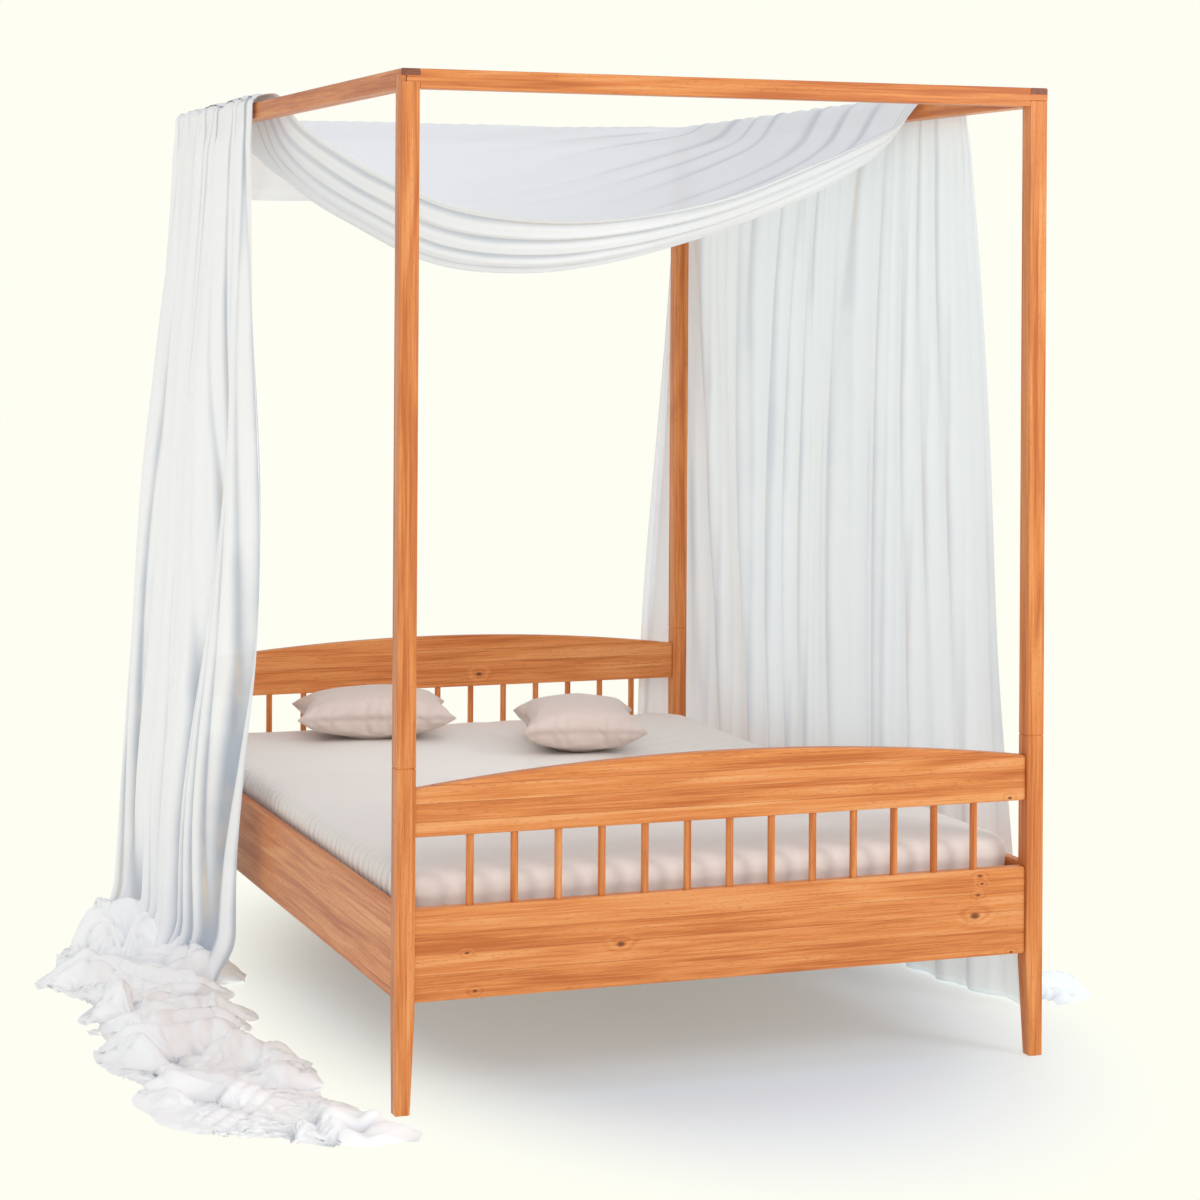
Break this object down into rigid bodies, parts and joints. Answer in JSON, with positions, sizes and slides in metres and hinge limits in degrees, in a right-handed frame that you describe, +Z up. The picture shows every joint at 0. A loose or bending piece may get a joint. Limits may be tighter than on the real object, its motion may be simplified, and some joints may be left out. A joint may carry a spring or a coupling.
{
  "type": "canopy bed",
  "caption": "Wooden canopy bed with spindled head and foot boards, mattress, pillows and sheer cloth draped over the canopy rails down to the floor.",
  "frame": {"origin": "centre of the front left foot's sole, on the floor", "axes": "+X to the right along the footboard, +Y from the foot of the bed to its head, +Z up"},
  "size_m": [2.3102, 2.379, 2.1073],
  "materials": {
    "oiled_wood": "oiled solid orange-brown wood, edge-glued staves with small knots, satin",
    "plain_wood": "planed, untreated light wood",
    "steel_fittings": "zinc-plated steel",
    "sheer_cloth": "sheer white voile, soft folds",
    "sheet": "plain woven cotton sheet, beige-grey, matt",
    "pillow_cover": "plain woven cotton, pinkish beige, matt"
  },
  "bodies": {
    "frame": {"lower_post_front_left": "oiled_wood", "lower_post_front_right": "oiled_wood", "lower_post_back_left": "oiled_wood", "lower_post_back_right": "oiled_wood", "upper_post_front_left": "oiled_wood", "upper_post_front_right": "oiled_wood", "upper_post_back_left": "oiled_wood", "upper_post_back_right": "oiled_wood", "canopy_rail_front": "oiled_wood", "canopy_rail_back": "oiled_wood", "canopy_rail_left": "oiled_wood", "canopy_rail_right": "oiled_wood", "footboard_lower_board": "oiled_wood", "footboard_upper_board": "oiled_wood", "headboard_lower_board": "oiled_wood", "headboard_upper_board": "oiled_wood", "side_rail_left": "oiled_wood", "side_rail_right": "oiled_wood", "footboard_spindle_01": "oiled_wood", "footboard_spindle_02": "oiled_wood", "footboard_spindle_03": "oiled_wood", "footboard_spindle_04": "oiled_wood", "footboard_spindle_05": "oiled_wood", "footboard_spindle_06": "oiled_wood", "footboard_spindle_07": "oiled_wood", "footboard_spindle_08": "oiled_wood", "footboard_spindle_09": "oiled_wood", "footboard_spindle_10": "oiled_wood", "footboard_spindle_11": "oiled_wood", "footboard_spindle_12": "oiled_wood", "footboard_spindle_13": "oiled_wood", "headboard_spindle_01": "oiled_wood", "headboard_spindle_02": "oiled_wood", "headboard_spindle_03": "oiled_wood", "headboard_spindle_04": "oiled_wood", "headboard_spindle_05": "oiled_wood", "headboard_spindle_06": "oiled_wood", "headboard_spindle_07": "oiled_wood", "headboard_spindle_08": "oiled_wood", "headboard_spindle_09": "oiled_wood", "headboard_spindle_10": "oiled_wood", "headboard_spindle_11": "oiled_wood", "headboard_spindle_12": "oiled_wood", "headboard_spindle_13": "oiled_wood", "ledger_left": "plain_wood", "ledger_right": "plain_wood", "slats": "plain_wood", "centre_beam": "plain_wood", "post_dowels": "plain_wood", "canopy_pins": "plain_wood", "hook_plates": "steel_fittings", "receiver_plates": "steel_fittings", "fitting_screws": "steel_fittings", "canopy_cloth": "sheer_cloth", "back_valance": "sheer_cloth", "left_drape": "sheer_cloth", "right_drape": "sheer_cloth"},
    "mattress": {"mattress": "sheet"},
    "pillow_left": {"pillow_left": "pillow_cover"},
    "pillow_right": {"pillow_right": "pillow_cover"}
  },
  "joints": [
    {"name": "mattress_lift", "type": "slide", "parent": "frame", "child": "mattress", "axis": [0, 0, 1], "range_m": [0, 0.25]},
    {"name": "pillow_left_lift", "type": "slide", "parent": "mattress", "child": "pillow_left", "axis": [0, 0, 1], "range_m": [0, 0.3]},
    {"name": "pillow_right_lift", "type": "slide", "parent": "mattress", "child": "pillow_right", "axis": [0, 0, 1], "range_m": [0, 0.3]}
  ]
}
